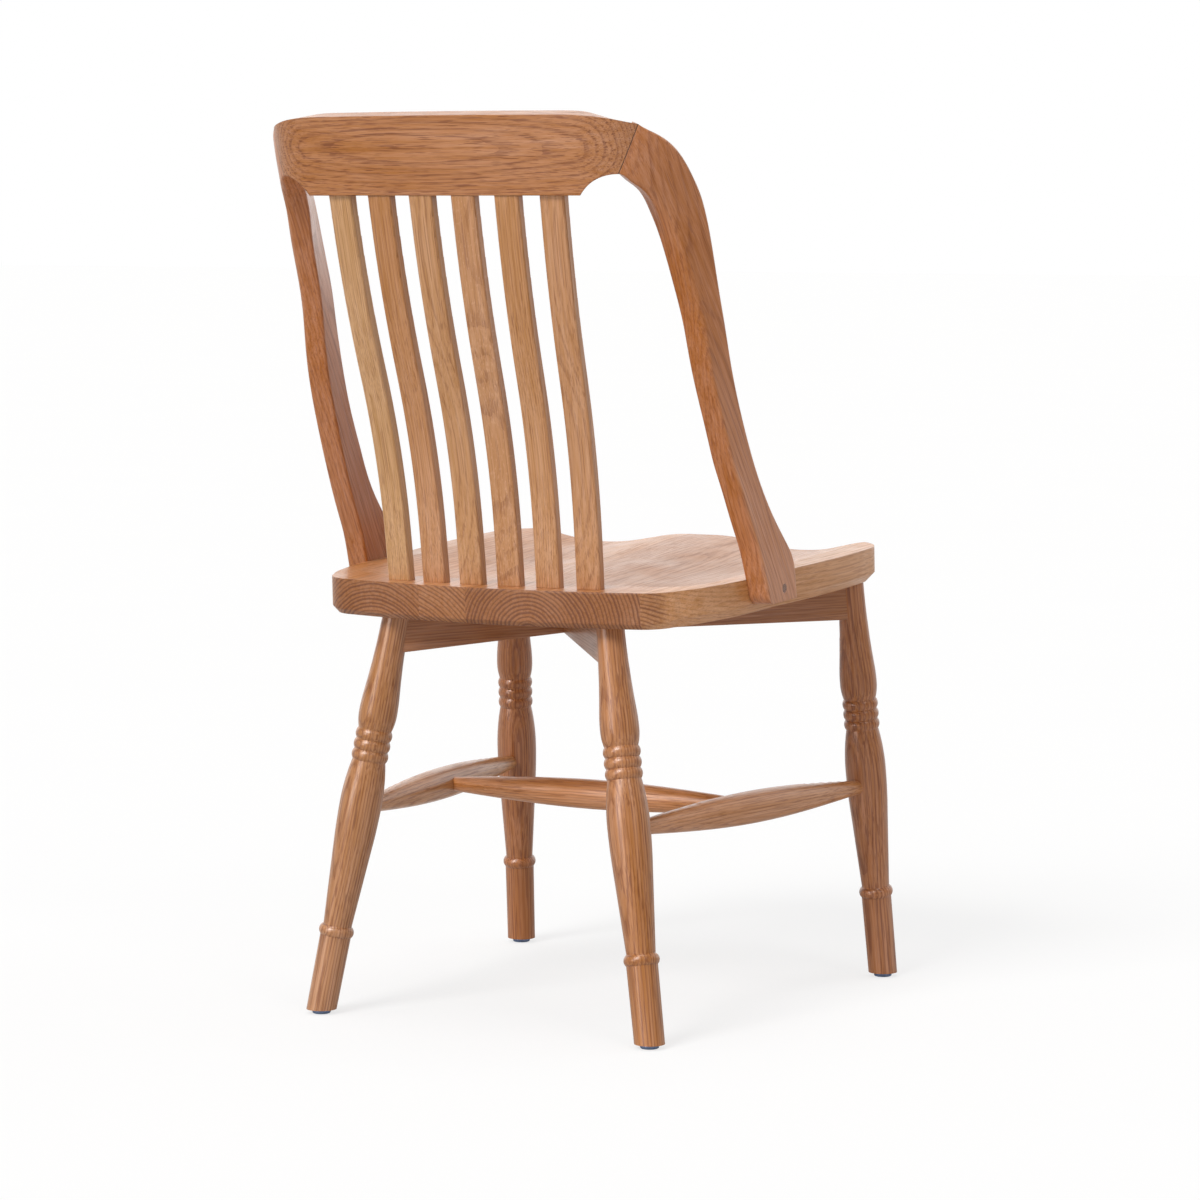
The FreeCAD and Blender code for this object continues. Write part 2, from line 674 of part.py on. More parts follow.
def slat(name, x_foot, x_top, y_foot, turn):
    """A slat sawn to an S from the side, its long edges eased, with a tenon at each end."""
    rises, setbacks, angles = slat_curve()
    body = doc.addObject("PartDesign::Body", name + "_body")
    sketch = new_sketch(body, "YZ_Plane", name + "_side")
    rear = [("%.6f" % setback, "%.6f" % rise) for setback, rise in zip(setbacks, rises)]
    foot_out = 1 / math.cos(angles[0])
    top_out = 1 / math.cos(angles[3])
    front = [
        ("%.6f - dim.slat_thick * %.7f" % (setbacks[3], top_out), "%.6f" % rises[3]),
        (
            "%.6f - dim.slat_thick * %.7f" % (setbacks[2], math.cos(angles[2])),
            "%.6f + dim.slat_thick * %.7f" % (rises[2], math.sin(angles[2])),
        ),
        (
            "%.6f - dim.slat_thick * %.7f" % (setbacks[1], math.cos(angles[1])),
            "%.6f + dim.slat_thick * %.7f" % (rises[1], math.sin(angles[1])),
        ),
        (
            "-dim.slat_thick * %.7f" % (foot_out - SEAT_SLOPE * math.tan(angles[0])),
            "dim.slat_thick * %.7f" % SEAT_SLOPE,
        ),
    ]
    low_turn = angles[2] - angles[1]
    high_turn = angles[2] - angles[3]
    low_chord = math.hypot(rises[2] - rises[1], setbacks[2] - setbacks[1])
    high_chord = math.hypot(rises[3] - rises[2], setbacks[3] - setbacks[2])
    thick = size("slat_thick")
    bulges = {
        1: -arc_height(low_chord, low_turn),
        2: arc_height(high_chord, high_turn),
        4: -arc_height(high_chord - thick * high_turn, high_turn),
        5: arc_height(low_chord + thick * low_turn, low_turn),
    }
    draw_outline(sketch, rear + front, bulges)
    blank = pad(body, sketch, "dim.slat_wide", name + "_blank")
    doc.recompute()
    half_wide = size("slat_wide") / 2
    long_edges = []
    for number, edge in enumerate(blank.Shape.Edges, start=1):
        middle = edge.CenterOfMass
        if abs(abs(middle.x) - half_wide) < 0.01 and edge.Length > 2 * thick:
            long_edges.append("Edge%d" % number)
    eased = body.newObject("PartDesign::Fillet", name + "_arris")
    eased.Base = (blank, long_edges)
    eased.setExpression("Radius", "dim.slat_arris")
    doc.recompute()
    tenons = new_sketch(body, "YZ_Plane", name + "_tenons")
    into = 2
    for rise, setback, out, angle, way in (
        (rises[0], setbacks[0], foot_out, angles[0], -1),
        (rises[3], setbacks[3], top_out, angles[3], 1),
    ):
        lean = math.tan(angle)
        centre = "%.6f - dim.slat_thick * %.7f" % (setback, out / 2)
        near_z = "%.3f" % (rise - way * into)
        far_z = "%.3f %s dim.slat_tenon_long" % (rise, "+" if way > 0 else "-")
        near_y = "%s + %.4f" % (centre, -way * into * lean)
        far_y = "%s %s dim.slat_tenon_long * %.5f" % (centre, "+" if way > 0 else "-", lean)
        corners = [
            (near_y + " - dim.slat_tenon_thick / 2", near_z),
            (near_y + " + dim.slat_tenon_thick / 2", near_z),
            (far_y + " + dim.slat_tenon_thick / 2", far_z),
            (far_y + " - dim.slat_tenon_thick / 2", far_z),
        ]
        draw_outline(tenons, corners)
    pad(body, tenons, "dim.slat_tenon_wide", name + "_tenon")
    swing = setbacks[3] * math.sin(math.radians(turn))
    lean_out = math.degrees(math.atan((x_top - x_foot - swing) / rises[3]))
    turned = Rotation(Vector(0, 0, 1), -turn).multiply(Rotation(Vector(0, 1, 0), lean_out))
    body.Placement = Placement(Vector(x_foot, y_foot, seat_top_z(y_foot)), turned)
    return keep(body, name)


def slats():
    """Six slats in a fan, numbered from the left: the outer ones lean and turn outward."""
    row = []
    for number in range(6):
        steps = 2.5 - number
        foot_pitch = 2 * size("slat_half_pitch_foot")
        top_pitch = 2 * size("slat_half_pitch_top")
        share = (abs(steps) - 0.5) / 2
        y = size("slat_foot_y") - size("slat_row_bow") * share ** 2
        turn = size("slat_turn") * steps / 2.5
        name = "back_slat_%d" % (number + 1)
        row.append(slat(name, steps * foot_pitch, steps * top_pitch, y, turn))
    return row


# Crest rail and back posts

def crest_plan(z):
    """Plan of the crest rail at a height: a bowed rear face that turns forward at both ends."""
    back = size("crest_rake") * (z - size("crest_low"))
    thick = size("crest_thick") * math.hypot(1, size("crest_rake"))
    radius = size("crest_corner_radius")
    corner = Vector(size("crest_corner_x"), size("crest_rear_y") - size("crest_bow") - radius, z)
    start = math.radians(3.6)
    stop = math.radians(80)

    def at(angle, inset, sign):
        reach = radius - inset
        x = corner.x + reach * math.sin(angle)
        y = corner.y + reach * math.cos(angle)
        return Vector(sign * x, y + back, z)

    def crown(inset):
        return Vector(0, size("crest_rear_y") - inset + back, z)

    middle = (start + stop) / 2
    rear = Part.Arc(at(start, 0, -1), crown(0), at(start, 0, 1)).toShape()
    front = Part.Arc(at(start, thick, -1), crown(thick), at(start, thick, 1)).toShape()
    edges = [rear, front]
    for sign in (1, -1):
        edges.append(Part.Arc(at(start, 0, sign), at(middle, 0, sign), at(stop, 0, sign)).toShape())
        edges.append(
            Part.Arc(at(start, thick, sign), at(middle, thick, sign), at(stop, thick, sign)).toShape()
        )
        edges.append(Part.LineSegment(at(stop, 0, sign), at(stop, thick, sign)).toShape())
    return Part.Wire(Part.__sortEdges__(edges))


def crest_top_z(x):
    """Height of the crest's rear upper edge: a long flat crown that drops towards the mitres."""
    crown_end = 137
    crown_drop = 1.3
    straight_share = 0.28
    bend = 2.2
    across = abs(x)
    if across < crown_end:
        return size("crest_high") - crown_drop * (across / crown_end) ** 2
    past = (across - crown_end) / (size("mitre_high_x") - crown_end)
    end_drop = size("crest_high") - crown_drop - size("mitre_high_z")
    fall = straight_share * past + (1 - straight_share) * past ** bend
    return size("crest_high") - crown_drop - end_drop * fall


def crest_top_cutter():
    """Everything above the crest's top: a surface ruled from its rear upper edge across its
    thickness, rising to the front along the crown and level where it meets the mitres."""
    thick = size("crest_thick")
    beyond = 6
    pitch = 10
    half_count = 22
    turn_end = 216
    level_from = 130
    corner_x = size("crest_corner_x")
    corner_y = size("crest_rear_y") - size("crest_bow") - size("crest_corner_radius")
    rear = []
    front = []
    for step in range(-half_count, half_count + 1):
        x = step * pitch
        edge = crest_rear_point(min(abs(x), turn_end), size("crest_high"))
        out = Vector(max(abs(x) - corner_x, 0), edge.y - corner_y, 0).normalize()
        slope = size("crest_top_rise") * (1 - smooth(level_from, size("mitre_high_x"), abs(x)))
        height = crest_top_z(x)
        for line, reach in ((rear, -beyond), (front, thick + beyond)):
            spot = Vector(abs(x), edge.y, 0) - out * reach
            line.append(Vector(math.copysign(spot.x, x), spot.y, height + slope * reach))
    curves = []
    for line in (rear, front):
        curve = Part.BSplineCurve()
        curve.interpolate(line)
        curves.append(curve.toShape())
    return Part.makeRuledSurface(curves[0], curves[1]).extrude(Vector(0, 0, 80))


def face_normal(turn, rake):
    """Outward normal of a post's outer face, turned from +X towards +Y by degrees."""
    angle = math.radians(turn)
    return Vector(math.cos(angle), math.sin(angle), -rake * math.sin(angle)).normalize()


def mitre():
    """Two points and the outer face's normal that span the left mitre, and its own normal
    that points into the crest rail."""
    rake = size("crest_rake")
    low_y = 256
    high_y = 247.8
    outward_turn = 47
    low = Vector(size("mitre_low_x"), low_y, size("mitre_low_z"))
    high = Vector(size("mitre_high_x"), high_y, size("mitre_high_z"))
    out = face_normal(outward_turn, rake)
    return low, high, out, (high - low).cross(out).normalize()


def beyond_mitre():
    """Everything past the left mitre as seen from the crest rail."""
    low, high, out, inward = mitre()
    plane = Part.makePlane(600, 600, Vector(-300, -300, 0))
    plane.Placement = Placement(low, turn_to(inward * -1))
    return plane.extrude(inward * -250)


def crest_rear_point(x, z):
    """A point on the crest's rear face."""
    radius = size("crest_corner_radius")
    corner_x = size("crest_corner_x")
    corner_y = size("crest_rear_y") - size("crest_bow") - radius
    out = max(x - corner_x, 0)
    y = corner_y + math.sqrt(radius * radius - out * out)
    return Vector(x, y + size("crest_rake") * (z - size("crest_low")), z)


def ear_cutter():
    """What is sawn away under the left ear, square to the mitred face: above it the edge
    sweeps from the rail's straight lower edge up to the mitre as part of an ellipse, and the
    waste closes outside the mitre and under the rail."""
    parts = 7
    deep = 60
    out = mitre()[2]
    low = size("crest_low")
    drop = size("ear_drop")
    rise = size("mitre_low_z") - low + drop
    first_angle = math.asin(drop / rise)
    reach = (size("mitre_low_x") - size("ear_x")) / math.cos(first_angle)
    spots = []
    for step in range(parts + 1):
        angle = first_angle + (math.pi / 2 - first_angle) * step / parts
        x = size("mitre_low_x") - reach * math.cos(angle)
        z = low - drop + rise * math.sin(angle)
        spots.append(crest_rear_point(x, z))
    first = spots[0]
    last = spots[-1]
    spots.append(last + Vector(18, -18, 2))
    spots.append(spots[-1] + Vector(0, 0, -60))
    spots.append(first + Vector(0, 0, -40))
    base = first.dot(out)
    flat = [spot - out * (spot.dot(out) - base + deep) for spot in spots]
    curve = Part.BSplineCurve()
    curve.interpolate(flat[:parts + 1])
    edges = [curve.toShape()]
    corners = flat[parts:] + [flat[0]]
    for one, other in zip(corners, corners[1:]):
        edges.append(Part.LineSegment(one, other).toShape())
    return Part.Face(Part.Wire(edges)).extrude(out * 2 * deep)


def mirrored(shape):
    return shape.mirror(Vector(0, 0, 0), Vector(1, 0, 0))


def crest_rail(tools):
    base_z = size("crest_low") - 30
    height = 140
    plan = Part.Face(crest_plan(base_z))
    blank = plan.extrude(Vector(0, size("crest_rake") * height, height))
    under = Part.makeBox(600, 400, 60, Vector(-300, 0, size("crest_low") - 60))
    rail_shape = blank.cut(crest_top_cutter()).cut(under)
    for waste in (beyond_mitre(), ear_cutter()):
        rail_shape = rail_shape.cut(waste).cut(mirrored(waste))
    for tool in tools:
        rail_shape = rail_shape.cut(tool)
    return keep(shape_feature("crest_rail", largest(rail_shape)))


def largest(shape):
    return max(shape.Solids, key=lambda item: item.Volume)


def rounded_section(corners, radii, bow):
    """A closed section through four corners, with arcs of the given radii at the corners. The
    two long sides may bow outward."""
    points = []
    for number, corner in enumerate(corners):
        before = (corners[number - 1] - corner).normalize()
        after = (corners[(number + 1) % 4] - corner).normalize()
        radius = radii[number]
        start = corner + before * radius
        end = corner + after * radius
        middle = corner + (before + after) * (radius * (1 - math.sqrt(0.5)))
        points.append((start, middle, end))
    out = (corners[1] - corners[0]).normalize()
    edges = []
    for number, (start, middle, end) in enumerate(points):
        edges.append(Part.Arc(start, middle, end).toShape())
        after = points[(number + 1) % 4][0]
        if number in (1, 3):
            crown = (end + after) * 0.5 + out * bow
            edges.append(Part.Arc(end, crown, after).toShape())
        else:
            edges.append(Part.LineSegment(end, after).toShape())
    return Part.Wire(edges)


# Level sections of the left post: height, rear inner corner x and y, turn of the outer face in
# degrees, width from front to rear
POST_LOW = [
    (405, 219.6, 46, 0, 64),
    (418, 219.5, 48, 0, 64),
    (446, 219, 55, 0.5, 66),
    (470, 217.8, 63.8, 1, 66.2),
    (490, 216.8, 73.8, 1.5, 57),
    (510, 215.8, 85, 2, 49.6),
    (530, 214.7, 95.3, 2.5, 44.4),
    (570, 211.9, 115.2, 3.5, 41.1),
    (610, 210, 131.8, 5, 38.3),
    (650, 207.4, 147, 7, 38.6),
    (690, 204.6, 157.7, 10.5, 38.2),
    (730, 200.9, 170.5, 14, 40.7),
]

# Upper sections of the left post: rear outer corner, front outer corner, turn of the outer face
# in degrees, its rake
POST_HIGH = [
    ((219.3, 195.4, 770), (234, 151.4, 770), 18, 0.3),
    ((213.7, 209.4, 795), (233.6, 167, 808), 27, 0.25),
    ((208.2, 223.2, 815), (232, 182.5, 833), 35, 0.2),
    ((200.6, 240.1, 830), (227.3, 204, 859), 42, 0.17),
    ((194, 249.5, 837), (216.8, 229, 878), 45, 0.17),
]


def post_sections():
    thick = size("post_thick")
    arris = size("post_arris")
    sections = []
    for z, x, y, turn, wide in POST_LOW:
        angle = math.radians(turn)
        out = Vector(math.cos(angle), math.sin(angle), 0)
        forward = Vector(math.sin(angle), -math.cos(angle), 0)
        rear_in = Vector(x, y, z)
        rear_out = rear_in + out * thick
        corners = [rear_in, rear_out, rear_out + forward * wide, rear_in + forward * wide]
        soft = 3 + 6 * smooth(610, 730, z)
        sections.append(rounded_section(corners, [arris, soft, 3.5, arris], 0.03))
    for number, (rear, front, turn, rake) in enumerate(POST_HIGH):
        out = face_normal(turn, rake) * thick
        rear = Vector(*rear)
        front = Vector(*front)
        corners = [rear - out, rear, front, front - out]
        soft = [10, 9, 7, 5, 2.5][number]
        sections.append(rounded_section(corners, [arris, soft, 3.5, arris], 0.2 * number + 0.1))
    low, high, out, inward = mitre()
    out = out * thick
    sections.append(rounded_section([low - out, low, high, high - out], [1, 1, 1, 1], 0.9))
    return sections


def post_shape():
    """The left post: a loft through its sections, its foot sawn parallel to the seat and its
    lower rear corner rounded."""
    post = Part.makeLoft(post_sections(), True, False)
    under = Part.makeBox(100, 300, 80, Vector(180, -150, -80 - size("post_foot_drop")))
    under.Placement = SEAT_PLACE.multiply(under.Placement)
    post = post.cut(under)
    radius = size("post_foot_round")
    inner_x = POST_LOW[0][1]
    foot_high = size("seat_top_height") - 20
    foot_rear = None
    for vertex in post.Vertexes:
        if vertex.Point.z < foot_high and abs(vertex.Point.x - inner_x) < 3:
            if foot_rear is None or vertex.Point.y > foot_rear.y:
                foot_rear = vertex.Point
    lean = 0.22
    waste = 12
    fullness = 0.32
    along_rear = Vector(0, lean, 1).normalize()
    along_foot = Vector(0, -1, SEAT_SLOPE).normalize()
    corner = foot_rear + along_rear * -1.0
    start = corner + along_rear * radius
    end = corner + along_foot * radius
    middle = corner + (along_rear + along_foot) * (radius * fullness)
    outside = corner - (along_rear + along_foot) * waste
    outline = Part.Wire([
        Part.Arc(start, middle, end).toShape(),
        Part.LineSegment(end, outside).toShape(),
        Part.LineSegment(outside, start).toShape(),
    ])
    outline.translate(Vector(-20, 0, 0))
    knife = Part.Face(outline).extrude(Vector(80, 0, 0))
    return post.cut(knife)


def post_screw():
    """Screw behind the left post's plug: countersunk head at the plug's bottom, shank level
    through the post into the seat."""
    head_x = size("post_foot_outer_x") - size("plug_deep")
    spot = Vector(head_x, size("plug_y"), size("plug_z"))
    inward = Vector(-1, 0, 0)
    head_high = size("post_screw_head") - size("post_screw_radius")
    head = Part.makeCone(
        size("post_screw_head"), size("post_screw_radius"), head_high, spot, inward
    )
    shank = Part.makeCylinder(
        size("post_screw_radius"),
        size("post_screw_long") - head_high,
        spot + inward * head_high,
        inward,
    )
    return head.fuse(shank).removeSplitter()


def plug_bore():
    """Bore for the left post's plug, open to the outside."""
    start = Vector(size("post_foot_outer_x") - size("plug_deep"), size("plug_y"), size("plug_z"))
    return Part.makeCylinder(size("plug_radius"), 20, start, Vector(1, 0, 0))


def mitre_dowels():
    """Two dowels square through the left mitre, in the middle of its thickness."""
    low, high, out, inward = mitre()
    dowels = []
    for share in (0.3, 0.72):
        spot = low + (high - low) * share - out * (size("post_thick") / 2)
        start = spot - inward * (size("dowel_long") / 2)
        dowels.append(Part.makeCylinder(size("dowel_radius"), size("dowel_long"), start, inward))
    return dowels


# Assembly

def build():
    nails = [glide_nail(corner) for corner in LEG_CORNERS]
    for corner in LEG_CORNERS:
        glide(corner)

    rails = {
        "seat_rail_a": ("rear_left", "front_right", False),
        "seat_rail_b": ("rear_right", "front_left", True),
    }
    rail_bodies = {}
    screws = []
    bores = []
    for name, (rear_corner, front_corner, lap_on_top) in rails.items():
        rail_bodies[name] = rail(name, rear_corner, front_corner, lap_on_top)
        frame = rail_frame(rear_corner, front_corner)[0]
        screws.extend(rail_screws(frame))
        bores.extend(rail_screw_bores(frame))

    straight = size("calf_radius") + 1
    side_bodies = {}
    for side in ("left", "right"):
        start = leg_point("rear_" + side, size("stretcher_rear_z"))
        end = leg_point("front_" + side, size("stretcher_front_z"))
        past = size("stretcher_past_axis")
        name = "stretcher_" + side
        side_bodies[side] = stretcher(name, start, end, past, past, straight, "side_belly_radius")
    rear = leg_point("rear_left", size("stretcher_rear_z"))
    front = leg_point("front_left", size("stretcher_front_z"))
    joint = rear + (front - rear) * ((rear.y - size("middle_stretcher_y")) / (rear.y - front.y))
    short = -size("middle_short_of_axis")
    middle_body = stretcher(
        "stretcher_middle",
        joint,
        Vector(-joint.x, joint.y, joint.z),
        short,
        short,
        size("side_belly_radius"),
        "middle_belly_radius",
    )
    doc.recompute()
    keep(middle_body, "stretcher_middle")
    for side, body in side_bodies.items():
        keep(cut("stretcher_" + side, body, [middle_body]))

    screw_group = shape_feature("seat_screws", Part.makeCompound(screws))
    bore_group = shape_feature("screw_bores", Part.makeCompound(bores))
    keep(screw_group)
    for name, body in rail_bodies.items():
        keep(cut(name, body, [screw_group, bore_group]))

    nail_group = keep(shape_feature("glide_nails", Part.makeCompound(nails)))
    for corner in LEG_CORNERS:
        row, side = corner.split("_")
        rail_name = "seat_rail_a" if corner in ("rear_left", "front_right") else "seat_rail_b"
        blank = leg_body(corner)
        tools = [
            floor_box("floor_" + corner),
            seat_underside_box("seat_" + corner),
            rail_bodies[rail_name],
            side_bodies[side],
            nail_group,
        ]
        keep(cut("leg_" + corner, blank, tools))

    slat_row = slats()
    doc.recompute()
    slat_shapes = [slat_body.Shape for slat_body in slat_row]

    post = post_shape()
    screw = post_screw()
    bore = plug_bore()
    dowels = mitre_dowels()
    for side, flip in (("left", False), ("right", True)):
        def placed(shape):
            return mirrored(shape) if flip else shape

        plug = placed(post.common(bore))
        whole = post.cut(bore).cut(screw)
        for dowel in dowels:
            whole = whole.cut(dowel)
        keep(shape_feature("post_" + side, largest(placed(whole))))
        keep(shape_feature("post_plug_" + side, largest(plug)))
        keep(shape_feature("post_screw_" + side, placed(screw)))
        keep(shape_feature("crest_dowels_" + side, Part.makeCompound([placed(item) for item in dowels])))

    both_dowels = dowels + [mirrored(dowel) for dowel in dowels]
    crest_rail(slat_shapes + both_dowels)
    seat_tools = slat_shapes + screws + [post, mirrored(post), screw, mirrored(screw)]
    seat_boards(seat_tools)
    doc.recompute()


def check_and_write():
    for item in doc.Objects:
        if "Invalid" in item.State or "Error" in item.State:
            raise RuntimeError("%s is in state %s" % (item.Name, item.State))
    os.makedirs("parts", exist_ok=True)
    for part in parts:
        shape = part.Shape
        if shape.isNull() or not shape.isValid() or not shape.Solids:
            raise RuntimeError("%s has no valid solid" % part.Label)
        print(part.Label, len(shape.Solids), round(shape.Volume), shape.BoundBox)
        shape.exportStep("parts/%s.step" % part.Label)


build()
check_and_write()
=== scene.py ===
import math

import bpy
from mathutils import Matrix, Vector

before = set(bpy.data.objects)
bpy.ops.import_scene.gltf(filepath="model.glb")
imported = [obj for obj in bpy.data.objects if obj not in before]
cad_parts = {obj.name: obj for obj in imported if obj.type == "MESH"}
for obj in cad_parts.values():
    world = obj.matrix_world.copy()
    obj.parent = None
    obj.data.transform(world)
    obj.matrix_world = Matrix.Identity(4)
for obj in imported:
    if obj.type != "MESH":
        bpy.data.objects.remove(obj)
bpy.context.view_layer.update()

scene = bpy.context.scene

# Node helpers


class Graph:
    """A node tree with short ways to add nodes, set inputs and link them."""

    def __init__(self, tree):
        self.tree = tree

    def add(self, kind, inputs=None, **settings):
        node = self.tree.nodes.new(kind)
        for name, setting in settings.items():
            setattr(node, name, setting)
        for name, source in (inputs or {}).items():
            self.put(node.inputs[name], source)
        return node

    def put(self, socket, source):
        if isinstance(source, bpy.types.NodeSocket):
            self.tree.links.new(source, socket)
        else:
            socket.default_value = source

    def math(self, operation, first, second=0.0, clamp=False):
        node = self.add("ShaderNodeMath", operation=operation, use_clamp=clamp)
        self.put(node.inputs[0], first)
        self.put(node.inputs[1], second)
        return node.outputs[0]

    def spread(self, source, low, high, to_low=0.0, to_high=1.0, smooth=False):
        """Maps a value from one range to another and clamps it."""
        node = self.add("ShaderNodeMapRange", clamp=True)
        if smooth:
            node.interpolation_type = "SMOOTHSTEP"
        for name, value in (
            ("Value", source), ("From Min", low), ("From Max", high),
            ("To Min", to_low), ("To Max", to_high),
        ):
            self.put(node.inputs[name], value)
        return node.outputs[0]

    def mix(self, share, first, second, blend="MIX"):
        node = self.add("ShaderNodeMix", data_type="RGBA", blend_type=blend, clamp_factor=True)
        self.put(node.inputs[0], share)
        self.put(node.inputs[6], first)
        self.put(node.inputs[7], second)
        return node.outputs[2]

    def noise(self, vector, scale, detail=2.0, rough=0.5):
        inputs = {"Vector": vector, "Scale": scale, "Detail": detail, "Roughness": rough}
        return self.add("ShaderNodeTexNoise", inputs)

    def stretch(self, vector, x, y, z):
        node = self.add("ShaderNodeVectorMath", operation="MULTIPLY")
        self.put(node.inputs[0], vector)
        node.inputs[1].default_value = (x, y, z)
        return node.outputs[0]

    def dot(self, vector, toward):
        """How far a vector points along a fixed direction."""
        node = self.add("ShaderNodeVectorMath", operation="DOT_PRODUCT")
        self.put(node.inputs[0], vector)
        node.inputs[1].default_value = toward
        return node.outputs["Value"]


def new_group(name, inputs, outputs):
    """A shader node group with named sockets: its tree, its graph and its two ends."""
    tree = bpy.data.node_groups.new(name, "ShaderNodeTree")
    for label, kind, default in inputs:
        socket = tree.interface.new_socket(label, in_out="INPUT", socket_type=kind)
        if default is not None:
            socket.default_value = default
    for label, kind in outputs:
        tree.interface.new_socket(label, in_out="OUTPUT", socket_type=kind)
    graph = Graph(tree)
    source = graph.add("NodeGroupInput")
    sink = graph.add("NodeGroupOutput")
    return tree, graph, source.outputs, sink.inputs


VECTOR = "NodeSocketVector"
FLOAT = "NodeSocketFloat"
COLOR = "NodeSocketColor"

# Oak figure


def oak_figure():
    """Solid oak in a log's own frame: z runs along the grain and the pith is the z axis.
    Growth rings are cylinders round it, bent by slow noise. The early wood of each ring is dark
    and full of pores, which run out along the grain as fine dark dashes. Rays are thin pale
    plates that point at the pith and show as flecks on a quartered face."""
    tree, g, given, result = new_group(
        "oak figure",
        [
            ("Log", VECTOR, None),
            ("Ring width", FLOAT, 0.003),
            ("Wander", FLOAT, 0.006),
            ("Ring contrast", FLOAT, 0.5),
            ("End grain", FLOAT, 0.0),
            ("Pores", FLOAT, 0.6),
            ("Pore length", FLOAT, 1.0),
            ("Fineness", FLOAT, 1.0),
            ("Rays", FLOAT, 0.0),
            ("Light", COLOR, (0.6, 0.36, 0.18, 1)),
            ("Dark", COLOR, (0.3, 0.14, 0.06, 1)),
        ],
        [("Color", COLOR), ("Pore mask", FLOAT), ("Height", FLOAT)],
    )
    wobble_scale = 10.0
    ripple_scale = 75.0
    ripple_depth = 0.0022
    late_start = 0.82
    end_fullness = 0.3
    end_depth = 1.3
    small_pore_scale = 1050.0
    big_pore_scale = 560.0
    fibre_scale = 1100.0
    streak_scale = 260.0
    patch_scale = 16.0

    log = given["Log"]
    slow = g.noise(g.stretch(log, 1, 1, 0.3), wobble_scale, 2.0)
    wobble = g.math("MULTIPLY", g.math("SUBTRACT", slow.outputs[0], 0.5), given["Wander"])
    fine = g.noise(g.stretch(log, 1, 1, 0.1), ripple_scale, 2.0)
    ripple = g.math("MULTIPLY", g.math("SUBTRACT", fine.outputs[0], 0.5), ripple_depth)
    length = g.add("ShaderNodeVectorMath", operation="LENGTH")
    g.put(length.inputs[0], g.stretch(log, 1, 1, 0))
    radius = g.math("ADD", g.math("ADD", length.outputs["Value"], wobble), ripple)
    ring = g.math("DIVIDE", radius, given["Ring width"])
    share = g.math("FRACT", ring)
    year = g.add("ShaderNodeTexWhiteNoise", {"W": g.math("FLOOR", ring)}, noise_dimensions="1D")
    early_end = g.spread(year.outputs["Value"], 0, 1, 0.35, 0.7)
    early = g.math("SUBTRACT", 1.0, g.spread(share, 0.05, early_end, smooth=True))
    late = g.spread(share, late_start, 1.0, 0.0, 0.5, smooth=True)
    band = g.math("MAXIMUM", early, late)
    fullness = g.math("SUBTRACT", 1.0, g.math("MULTIPLY", given["End grain"], end_fullness))
    band = g.math("POWER", band, fullness)
    year_depth = g.spread(year.outputs["Value"], 0, 1, 0.4, 1.0)
    depth = g.math("ADD", given["Ring contrast"], g.math("MULTIPLY", given["End grain"], end_depth))
    rings = g.math("MULTIPLY", g.math("MULTIPLY", band, year_depth), depth, clamp=True)

    split = g.add("ShaderNodeSeparateXYZ")
    g.put(split.inputs[0], log)
    drawn = g.add("ShaderNodeCombineXYZ")
    g.put(drawn.inputs["X"], g.math("MULTIPLY", split.outputs["X"], given["Fineness"]))
    g.put(drawn.inputs["Y"], g.math("MULTIPLY", split.outputs["Y"], given["Fineness"]))
    g.put(drawn.inputs["Z"], g.math("DIVIDE", split.outputs["Z"], given["Pore length"]))
    vessels = g.noise(g.stretch(drawn.outputs[0], 1, 1, 0.05), small_pore_scale, 1.0, 0.4).outputs[0]
    coarse = g.noise(g.stretch(drawn.outputs[0], 1, 1, 0.055), big_pore_scale, 1.0, 0.4).outputs[0]
    open_low = g.spread(early, 0, 1, 0.6, 0.5)
    open_high = g.math("ADD", open_low, 0.08)
    small = g.spread(vessels, open_low, open_high, smooth=True)
    big = g.spread(coarse, g.math("ADD", open_low, 0.02), g.math("ADD", open_high, 0.03), smooth=True)
    pores = g.math("MAXIMUM", g.math("MULTIPLY", small, 0.7), big)

    fibre = g.noise(g.stretch(log, 1, 1, 0.025), fibre_scale, 2.0, 0.6).outputs[0]
    streak = g.noise(g.stretch(log, 1, 1, 0.02), streak_scale, 2.0).outputs[0]
    patch = g.noise(g.stretch(log, 1, 1, 0.25), patch_scale, 2.0).outputs[0]

    plate_turns = 70.0
    plate_depths = 90.0
    plate_heights = 230.0
    angle = g.math("ARCTAN2", split.outputs["Y"], split.outputs["X"])
    plates = g.add("ShaderNodeCombineXYZ")
    g.put(plates.inputs["X"], g.math("MULTIPLY", angle, plate_turns))
    g.put(plates.inputs["Y"], g.math("MULTIPLY", length.outputs["Value"], plate_depths))
    g.put(plates.inputs["Z"], g.math("MULTIPLY", split.outputs["Z"], plate_heights))
    ray_noise = g.noise(plates.outputs[0], 1.0, 1.0).outputs[0]
    ray = g.math("MULTIPLY", g.spread(ray_noise, 0.58, 0.68, smooth=True), given["Rays"])

